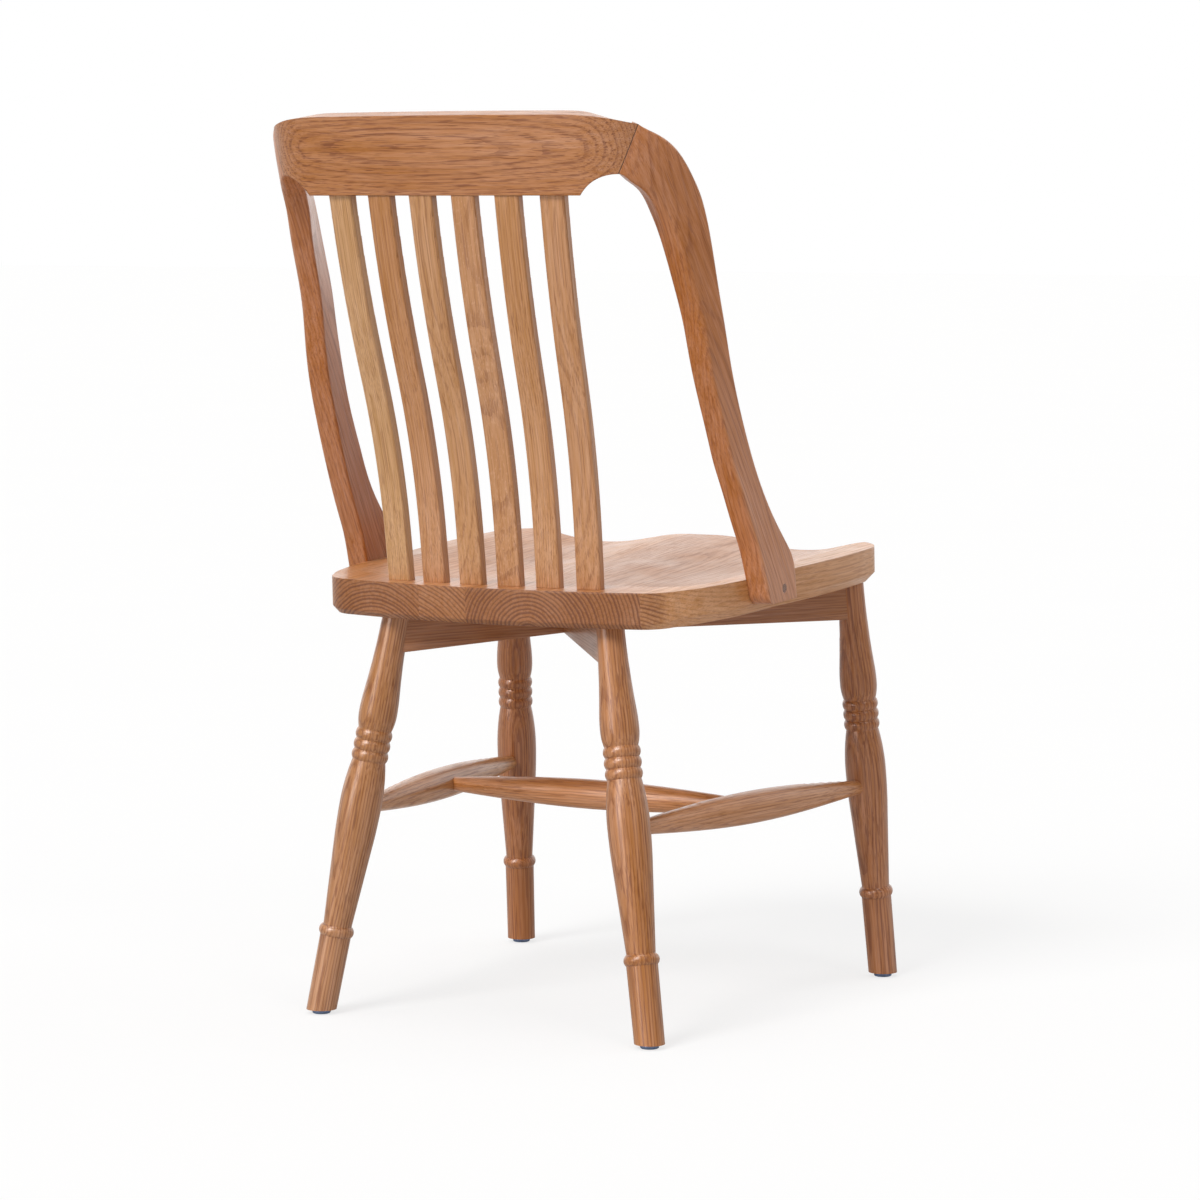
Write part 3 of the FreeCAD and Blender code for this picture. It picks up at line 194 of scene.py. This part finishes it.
    tone = g.mix(rings, given["Light"], given["Dark"])
    tone = g.mix(g.math("MULTIPLY", pores, given["Pores"]), tone, given["Dark"])
    fibre_shade = g.spread(fibre, 0.25, 0.75, -0.1, 0.1)
    streak_shade = g.spread(streak, 0.25, 0.75, -0.12, 0.12)
    patch_shade = g.spread(patch, 0.25, 0.75, -0.12, 0.12)
    value = g.math("ADD", g.math("ADD", fibre_shade, streak_shade), patch_shade)
    value = g.math("ADD", value, g.math("MULTIPLY", ray, 0.3))
    shade = g.add("ShaderNodeHueSaturation", {"Color": tone, "Value": g.math("ADD", value, 1.0)})
    g.put(shade.inputs["Saturation"], g.math("SUBTRACT", 1.0, g.math("MULTIPLY", value, 0.6)))
    g.put(result["Color"], shade.outputs[0])
    g.put(result["Pore mask"], pores)
    low = g.math("MULTIPLY", pores, -1.0)
    g.put(result["Height"], g.math("ADD", low, g.math("MULTIPLY", fibre, 0.3)))
    return tree


def handled_edges():
    """Where hands and feet have rubbed: a mask along outside edges, broken up by noise."""
    tree, g, given, result = new_group(
        "handled edges",
        [("Object", VECTOR, None), ("Reach", FLOAT, 0.002), ("Strength", FLOAT, 0.5)],
        [("Mask", FLOAT), ("Normal", VECTOR)],
    )
    round_off = g.add("ShaderNodeBevel", samples=4)
    g.put(round_off.inputs["Radius"], given["Reach"])
    shape = g.add("ShaderNodeNewGeometry")
    dot = g.add("ShaderNodeVectorMath", operation="DOT_PRODUCT")
    g.put(dot.inputs[0], round_off.outputs[0])
    g.put(dot.inputs[1], shape.outputs["Normal"])
    edge = g.spread(dot.outputs["Value"], 0.8, 0.995, 1.0, 0.0)
    broken = g.spread(g.noise(given["Object"], 45.0, 3.0).outputs[0], 0.35, 0.65)
    g.put(result["Mask"], g.math("MULTIPLY", g.math("MULTIPLY", edge, broken), given["Strength"]))
    g.put(result["Normal"], round_off.outputs[0])
    return tree


def rubbed_turnings():
    """Where turned rings and bulbs have been rubbed pale: a mask on what stands proud."""
    tree, g, given, result = new_group(
        "rubbed turnings",
        [("Object", VECTOR, None), ("Strength", FLOAT, 0.5)],
        [("Mask", FLOAT)],
    )
    shape = g.add("ShaderNodeNewGeometry")
    proud = g.spread(shape.outputs["Pointiness"], 0.51, 0.58)
    broken = g.spread(g.noise(given["Object"], 60.0, 3.0).outputs[0], 0.35, 0.65)
    g.put(result["Mask"], g.math("MULTIPLY", g.math("MULTIPLY", proud, broken), given["Strength"]))
    return tree


OAK = oak_figure()
EDGES = handled_edges()
TURNINGS = rubbed_turnings()


def darker(color):
    """The colour of a board's early wood and pores, from that of its late wood."""
    red, green, blue = color[:3]
    return (red * 0.50, green * 0.38, blue * 0.30, 1)


def log_position(g, spot, along, pith):
    """Turns a place on the chair into the log's frame, whose z runs along the grain."""
    turn = Vector(along).to_track_quat("Z", "Y").to_matrix().to_4x4().inverted()
    shifted = g.add("ShaderNodeVectorMath", operation="SUBTRACT")
    g.put(shifted.inputs[0], spot)
    shifted.inputs[1].default_value = pith
    log = g.add("ShaderNodeVectorRotate", rotation_type="EULER_XYZ")
    g.put(log.inputs["Vector"], shifted.outputs[0])
    log.inputs["Rotation"].default_value = turn.to_euler("XYZ")
    return log.outputs[0]


def off_glue_lines(g, spot, arris, lines):
    """A mask that is 0 on glue lines, each given by its x, and 1 past an arris' width."""
    across = g.add("ShaderNodeSeparateXYZ")
    g.put(across.inputs[0], spot)
    free = 1.0
    for line in lines:
        away = g.math("ABSOLUTE", g.math("SUBTRACT", across.outputs["X"], line))
        free = g.math("MULTIPLY", free, g.spread(away, arris, arris * 1.2))
    return free


def eased_edges(g, spot, arris, glued):
    """Where a piece has been handled, and the normal that rounds its edges, if it has any."""
    edges = g.add("ShaderNodeGroup", node_tree=EDGES if arris else TURNINGS)
    g.put(edges.inputs["Object"], spot)
    edges.inputs["Strength"].default_value = 0.35
    rubbed = edges.outputs["Mask"]
    if not arris:
        return rubbed, None
    edges.inputs["Reach"].default_value = arris
    eased = edges.outputs["Normal"]
    if glued:
        free = off_glue_lines(g, spot, arris, glued)
        shape = g.add("ShaderNodeNewGeometry")
        blend = g.add("ShaderNodeMix", data_type="VECTOR")
        g.put(blend.inputs[0], free)
        g.put(blend.inputs[4], shape.outputs["Normal"])
        g.put(blend.inputs[5], eased)
        eased = blend.outputs[1]
        rubbed = g.math("MULTIPLY", rubbed, free)
    return rubbed, eased


def oak(name, along, pith, light, ring=0.003, wander=0.006, contrast=0.3, pores=0.5, long=1.0,
        fine=1.0, rays=0.0, end_tone=0.0, rough=0.36, coat=0.15, arris=0.0016, joint=None, glued=()):
    """A lacquered oak for one piece. along is the grain's direction and pith a point on the
    log's centre line, both in the chair's frame. joint, where the piece has one, is a point and
    the normal of a mitre that shows as a thin dark line on both sides of the chair. glued lists
    the x of glue lines, where no edge is eased. A turned piece has no arris."""
    material = bpy.data.materials.new(name)
    material.use_nodes = True
    g = Graph(material.node_tree)
    material.node_tree.nodes.clear()
    spot = g.add("ShaderNodeTexCoord").outputs["Object"]
    figure = g.add("ShaderNodeGroup", node_tree=OAK)
    for label, value in (
        ("Log", log_position(g, spot, along, pith)), ("Ring width", ring), ("Wander", wander),
        ("Ring contrast", contrast), ("Pores", pores), ("Pore length", long), ("Fineness", fine), ("Rays", rays),
        ("Light", light), ("Dark", darker(light)),
    ):
        g.put(figure.inputs[label], value)
    rubbed, eased = eased_edges(g, spot, arris, glued)
    shape = g.add("ShaderNodeNewGeometry")
    facing = g.dot(shape.outputs["Normal"], Vector(along).normalized())
    end = g.spread(g.math("ABSOLUTE", facing), 0.45, 0.85, smooth=True)
    end = g.math("MULTIPLY", end, end_tone)
    g.put(figure.inputs["End grain"], end)
    soaked = g.mix(1.0, figure.outputs["Color"], (0.66, 0.60, 0.54, 1), "MULTIPLY")
    color = g.mix(end, figure.outputs["Color"], soaked)
    worn = g.mix(1.0, color, (1.12, 1.1, 1.06, 1), "MULTIPLY")
    color = g.mix(rubbed, color, worn)
    if joint:
        color = glue_line(g, spot, color, joint)

    bump = g.add("ShaderNodeBump", {"Height": figure.outputs["Height"]})
    if eased:
        g.put(bump.inputs["Normal"], eased)
    bump.inputs["Strength"].default_value = 0.12
    bump.inputs["Distance"].default_value = 0.0004
    shader = g.add("ShaderNodeBsdfPrincipled", {"Base Color": color, "Normal": bump.outputs[0]})
    smears = g.noise(spot, 22.0, 3.0).outputs[0]
    lacquer = g.spread(smears, 0.3, 0.7, rough - 0.05, rough + 0.06)
    dull_pores = g.math("MULTIPLY", figure.outputs["Pore mask"], 0.12)
    g.put(shader.inputs["Roughness"], g.math("ADD", lacquer, dull_pores))
    shader.inputs["Coat Weight"].default_value = coat
    shader.inputs["Coat Roughness"].default_value = 0.16
    out = g.add("ShaderNodeOutputMaterial")
    g.put(out.inputs["Surface"], shader.outputs[0])
    return material


def glue_line(g, spot, color, joint):
    """Darkens a line where the surface meets the joint's plane, mirrored to the right side."""
    point, normal = joint
    both = g.add("ShaderNodeVectorMath", operation="ABSOLUTE")
    g.put(both.inputs[0], spot)
    away = g.add("ShaderNodeVectorMath", operation="SUBTRACT")
    g.put(away.inputs[0], both.outputs[0])
    away.inputs[1].default_value = point
    off_plane = g.math("ABSOLUTE", g.dot(away.outputs[0], normal))
    line = g.spread(off_plane, 0.0006, 0.0011, 0.8, 0.0)
    return g.mix(line, color, (0.035, 0.016, 0.010, 1))


def wear_it(node, material):
    """Gives a CAD piece its finish."""
    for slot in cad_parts[node].material_slots:
        slot.material = material


# Finish of each piece


def finish_slats():
    """Straight-grained slats, each from another board. The fourth is cut nearly quartered and
    shows its rays."""
    tones = [
        (0.55, 0.300, 0.133, 1), (0.48, 0.218, 0.084, 1), (0.50, 0.245, 0.100, 1),
        (0.49, 0.230, 0.093, 1), (0.51, 0.243, 0.098, 1), (0.49, 0.228, 0.091, 1),
    ]
    first_x = 0.108
    pitch = 0.0432
    quartered = 3
    for number, tone in enumerate(tones):
        x = first_x - pitch * number
        reach = 0.05 + 0.02 * math.sin(number * 2.1)
        pith = (x + reach, 0.10 + 0.05 * math.cos(number * 1.7), 0.4)
        if number == quartered:
            pith = (x + 0.004, 0.02, 0.4)
        lean = Vector((x * 0.25, 0.24, 1))
        material = oak(
            "oak_slat_%d" % (number + 1), lean, pith, tone, ring=0.0022 + 0.0003 * (number % 3),
            wander=0.005, contrast=0.24, pores=0.62, long=6.0, fine=1.8,
            rays=0.35 if number == quartered else 0.05, end_tone=0.3,
        )
        wear_it("back_slat_%d" % (number + 1), material)


# The left mitre: its lower and upper end, and the normals of its outer face and of its plane
MITRE = Vector((0.187, 0.256, 0.842))
MITRE_TOP = Vector((0.2035, 0.2478, 0.8886))
MITRE_OUT = Vector((0.682, 0.7314, -0.1243)).normalized()
MITRE_NORMAL = (MITRE_TOP - MITRE).cross(MITRE_OUT).normalized()


def finish_crest():
    """Flat-sawn, its pith behind the rear face, so that the rings close in arcs where the face
    turns forward at both ends."""
    material = oak(
        "oak_crest", (1, 0, 0), (0.0, 0.312, 0.861), (0.425, 0.170, 0.056, 1), ring=0.0028, wander=0.009,
        contrast=0.36, pores=1.0, fine=1.45, end_tone=0.2, joint=(MITRE, MITRE_NORMAL),
    )
    wear_it("crest_rail", material)


def finish_posts():
    """Posts sawn from wide boards, so that the figure runs out in arches at the bend. The grain
    follows the upper, leaning part. A plug of end grain sits in each foot."""
    for side, sign in (("left", 1), ("right", -1)):
        grain = Vector((-0.06 * sign, 0.62, 1))
        material = oak(
            "oak_post_" + side, grain, (sign * 0.17, -0.06, 0.42), (0.46, 0.165, 0.050, 1),
            ring=0.0036, wander=0.014, contrast=0.36, pores=0.5, long=1.8, fine=1.15, end_tone=0.1,
        )
        wear_it("post_" + side, material)
        plug = oak(
            "oak_plug_" + side, (1, 0, 0.1), (0, 0.0, 0.41), (0.27, 0.105, 0.042, 1),
            ring=0.002, contrast=0.6, end_tone=0.6,
        )
        wear_it("post_plug_" + side, plug)


# Where the seat's boards are glued to each other, along x
GLUE_LINES = (0.072, 0.017, -0.169)


def finish_seat():
    """Four boards whose end grain shows along the rear edge: each has its pith elsewhere."""
    boards = {
        "left": ((0.127, 0, 0.372), (0.46, 0.190, 0.062, 1)),
        "left_middle": ((0.092, 0, 0.365), (0.52, 0.225, 0.078, 1)),
        "centre": ((-0.052, 0, 0.402), (0.45, 0.185, 0.062, 1)),
        "right": ((-0.15, 0, 0.34), (0.55, 0.255, 0.098, 1)),
    }
    for name, (pith, tone) in boards.items():
        material = oak(
            "oak_seat_" + name, (0, 1, -0.045), pith, tone, ring=0.0039, wander=0.011, contrast=0.3,
            pores=0.4, long=1.6, end_tone=1.0, rough=0.36, coat=0.1, arris=0.0025,
            glued=GLUE_LINES,
        )
        wear_it("seat_board_" + name, material)


def finish_legs():
    """Turned legs, each with the grain along its own splayed axis and its pith outside it."""
    legs = {
        "rear_left": ((-0.166, -0.1025, 1), (0.205, 0.235, 0), (0.44, 0.200, 0.082, 1)),
        "rear_right": ((0.166, -0.1025, 1), (-0.175, 0.240, 0), (0.43, 0.178, 0.063, 1)),
        "front_right": ((0.0423, 0.118, 1), (-0.235, -0.300, 0), (0.42, 0.160, 0.054, 1)),
        "front_left": ((-0.0423, 0.118, 1), (0.205, -0.245, 0), (0.42, 0.160, 0.054, 1)),
    }
    for name, (along, pith, tone) in legs.items():
        material = oak("oak_leg_" + name, along, pith, tone, contrast=0.62, pores=0.85, long=2.0, fine=1.1,
                       end_tone=0.3, rough=0.36, coat=0.3, arris=0)
        wear_it("leg_" + name, material)


def finish_bars():
    """Turned stretchers and the two sawn rails that cross under the seat."""
    bars = {
        "stretcher_left": ((0.139, -1, 0), (0.20, 0, 0.235), (0.52, 0.245, 0.098, 1)),
        "stretcher_right": ((-0.139, -1, 0), (-0.20, 0, 0.19), (0.50, 0.215, 0.078, 1)),
        "stretcher_middle": ((1, 0, 0), (0, -0.02, 0.225), (0.57, 0.240, 0.086, 1)),
        "seat_rail_a": ((-0.656, -0.755, 0.034), (0, 0.03, 0.34), (0.38, 0.155, 0.060, 1)),
        "seat_rail_b": ((0.656, -0.755, 0.034), (0, 0.02, 0.45), (0.40, 0.170, 0.066, 1)),
    }
    for name, (along, pith, tone) in bars.items():
        material = oak("oak_" + name, along, pith, tone, contrast=0.36, pores=0.65, long=1.8, fine=1.3,
                       end_tone=0.3, rough=0.36, coat=0.25, arris=0 if "stretcher" in name else 0.0012)
        wear_it(name, material)


def finish_dowels():
    beech = oak("beech_dowel", (-0.65, 0.67, 0.35), (0.3, 0.1, 0.8), (0.7, 0.5, 0.33, 1),
                ring=0.002, contrast=0.1, pores=0.1)
    for side in ("left", "right"):
        wear_it("crest_dowels_" + side, beech)


def finish_glides():
    """Slightly clear blue plastic with a cloudy moulding."""
    plastic = bpy.data.materials.new("glide_plastic")
    plastic.use_nodes = True
    g = Graph(plastic.node_tree)
    shader = plastic.node_tree.nodes["Principled BSDF"]
    place = g.add("ShaderNodeTexCoord")
    cloud = g.noise(place.outputs["Object"], 160.0, 3.0).outputs[0]
    g.put(shader.inputs["Base Color"], g.mix(cloud, (0.20, 0.32, 0.60, 1), (0.32, 0.45, 0.72, 1)))
    g.put(shader.inputs["Roughness"], g.spread(cloud, 0.3, 0.7, 0.3, 0.45))
    bump = g.add("ShaderNodeBump", {"Height": g.noise(place.outputs["Object"], 900.0, 2.0).outputs[0]})
    bump.inputs["Strength"].default_value = 0.1
    bump.inputs["Distance"].default_value = 0.0002
    g.put(shader.inputs["Normal"], bump.outputs[0])
    shader.inputs["Transmission Weight"].default_value = 0.25
    for corner in ("front_left", "front_right", "rear_left", "rear_right"):
        wear_it("glide_" + corner, plastic)


def finish_steel():
    """Zinc-plated nails and screws, dull in patches."""
    steel = bpy.data.materials.new("zinc_steel")
    steel.use_nodes = True
    g = Graph(steel.node_tree)
    shader = steel.node_tree.nodes["Principled BSDF"]
    place = g.add("ShaderNodeTexCoord")
    grime = g.noise(place.outputs["Object"], 300.0, 4.0).outputs[0]
    g.put(shader.inputs["Base Color"], g.mix(grime, (0.62, 0.62, 0.64, 1), (0.42, 0.41, 0.40, 1)))
    g.put(shader.inputs["Roughness"], g.spread(grime, 0.3, 0.7, 0.28, 0.5))
    shader.inputs["Metallic"].default_value = 1.0
    for node in ("glide_nails", "seat_screws", "post_screw_left", "post_screw_right"):
        wear_it(node, steel)


finish_slats()
finish_crest()
finish_posts()
finish_seat()
finish_legs()
finish_bars()
finish_dowels()
finish_glides()
finish_steel()


# Studio


def floor():
    """A wide, flat white floor. The camera sees mostly plain white, so that only a soft shadow is left."""
    reach = 40
    corners = [(-reach, -reach), (reach, -reach), (reach, reach), (-reach, reach)]
    mesh = bpy.data.meshes.new("floor")
    mesh.from_pydata([(x, y, -0.0002) for x, y in corners], [], [(0, 1, 2, 3)])
    plane = bpy.data.objects.new("floor", mesh)
    scene.collection.objects.link(plane)
    material = bpy.data.materials.new("floor_paint")
    material.use_nodes = True
    g = Graph(material.node_tree)
    material.node_tree.nodes.clear()
    place = g.add("ShaderNodeTexCoord")
    cloud = g.noise(place.outputs["Object"], 2.0, 2.0).outputs[0]
    paint = g.mix(cloud, (0.66, 0.655, 0.65, 1), (0.68, 0.675, 0.67, 1))
    matt = g.add("ShaderNodeBsdfDiffuse", {"Color": paint})
    white = g.add("ShaderNodeEmission")
    white.inputs["Color"].default_value = (1, 1, 1, 1)
    white.inputs["Strength"].default_value = 1.12
    seen = g.add("ShaderNodeLightPath")
    share = g.math("MULTIPLY", seen.outputs["Is Camera Ray"], 0.66)
    both = g.add("ShaderNodeMixShader")
    g.put(both.inputs[0], share)
    g.put(both.inputs[1], matt.outputs[0])
    g.put(both.inputs[2], white.outputs[0])
    out = g.add("ShaderNodeOutputMaterial")
    g.put(out.inputs["Surface"], both.outputs[0])
    mesh.materials.append(material)


def sun(name, toward, power, softness):
    """A distant soft lamp. toward points from the chair to the lamp."""
    data = bpy.data.lights.new(name, "SUN")
    data.energy = power
    data.angle = math.radians(softness)
    light = bpy.data.objects.new(name, data)
    light.rotation_euler = Vector(toward).to_track_quat("Z", "Y").to_euler()
    scene.collection.objects.link(light)


def studio():
    """An even white room, a soft key from behind the chair, one from above and two weak fills.
    Gloss also mirrors the pale backdrop and a tall soft box beside the camera."""
    world = bpy.data.worlds.new("studio")
    scene.world = world
    world.use_nodes = True
    g = Graph(world.node_tree)
    world.node_tree.nodes.clear()
    ray = g.add("ShaderNodeLightPath")
    strength = g.math("MAXIMUM", ray.outputs["Is Camera Ray"], ray.outputs["Is Transmission Ray"])
    direction = g.add("ShaderNodeTexCoord").outputs["Generated"]
    backdrop = g.spread(g.dot(direction, (0.48, -0.877, 0)), 0.1, 0.9, 0.3, 1.55, smooth=True)
    level = g.add("ShaderNodeVectorMath", operation="NORMALIZE")
    g.put(level.inputs[0], g.stretch(direction, 1, 1, 0))
    beside = g.dot(level.outputs[0], (0.40, 0.917, 0))
    tall_box = g.spread(beside, 0.965, 0.985, 0.0, 6.0, smooth=True)
    mirrored = g.math("MAXIMUM", backdrop, tall_box)
    strength = g.math("MAXIMUM", strength, g.math("MULTIPLY", ray.outputs["Is Glossy Ray"], mirrored))
    room_level = 0.38
    strength = g.math("MAXIMUM", strength, room_level)
    white = g.add("ShaderNodeBackground", {"Strength": strength})
    white.inputs["Color"].default_value = (1, 1, 1, 1)
    out = g.add("ShaderNodeOutputWorld")
    g.put(out.inputs["Surface"], white.outputs[0])
    sun("key", (0.14, 1.00, 0.85), 2.1, 24)
    sun("overhead", (0.0, 0.05, 1.0), 0.75, 25)
    sun("fill", (-1.00, 0.60, 0.80), 0.22, 16)
    sun("front", (-0.70, -0.75, 0.50), 0.25, 40)


def show_camera():
    """The photo's view, solved from the feet, rings and axes of the chair's turned legs."""
    place = Vector((-2.12058, 3.80266, 0.81812))
    turn = 3.64509946
    tilt = 0.0931272713
    back = Vector((math.sin(turn) * math.cos(tilt), -math.cos(turn) * math.cos(tilt), math.sin(tilt)))
    right = Vector((math.cos(turn), math.sin(turn), 0))
    up = back.cross(right)
    data = bpy.data.cameras.new("camera")
    data.lens = 128.58
    data.sensor_width = 36
    camera = bpy.data.objects.new("camera", data)
    scene.collection.objects.link(camera)
    camera.matrix_world = Matrix((
        (right.x, up.x, back.x, place.x),
        (right.y, up.y, back.y, place.y),
        (right.z, up.z, back.z, place.z),
        (0, 0, 0, 1),
    ))
    scene.camera = camera


floor()
studio()
show_camera()
scene.view_settings.view_transform = "Standard"
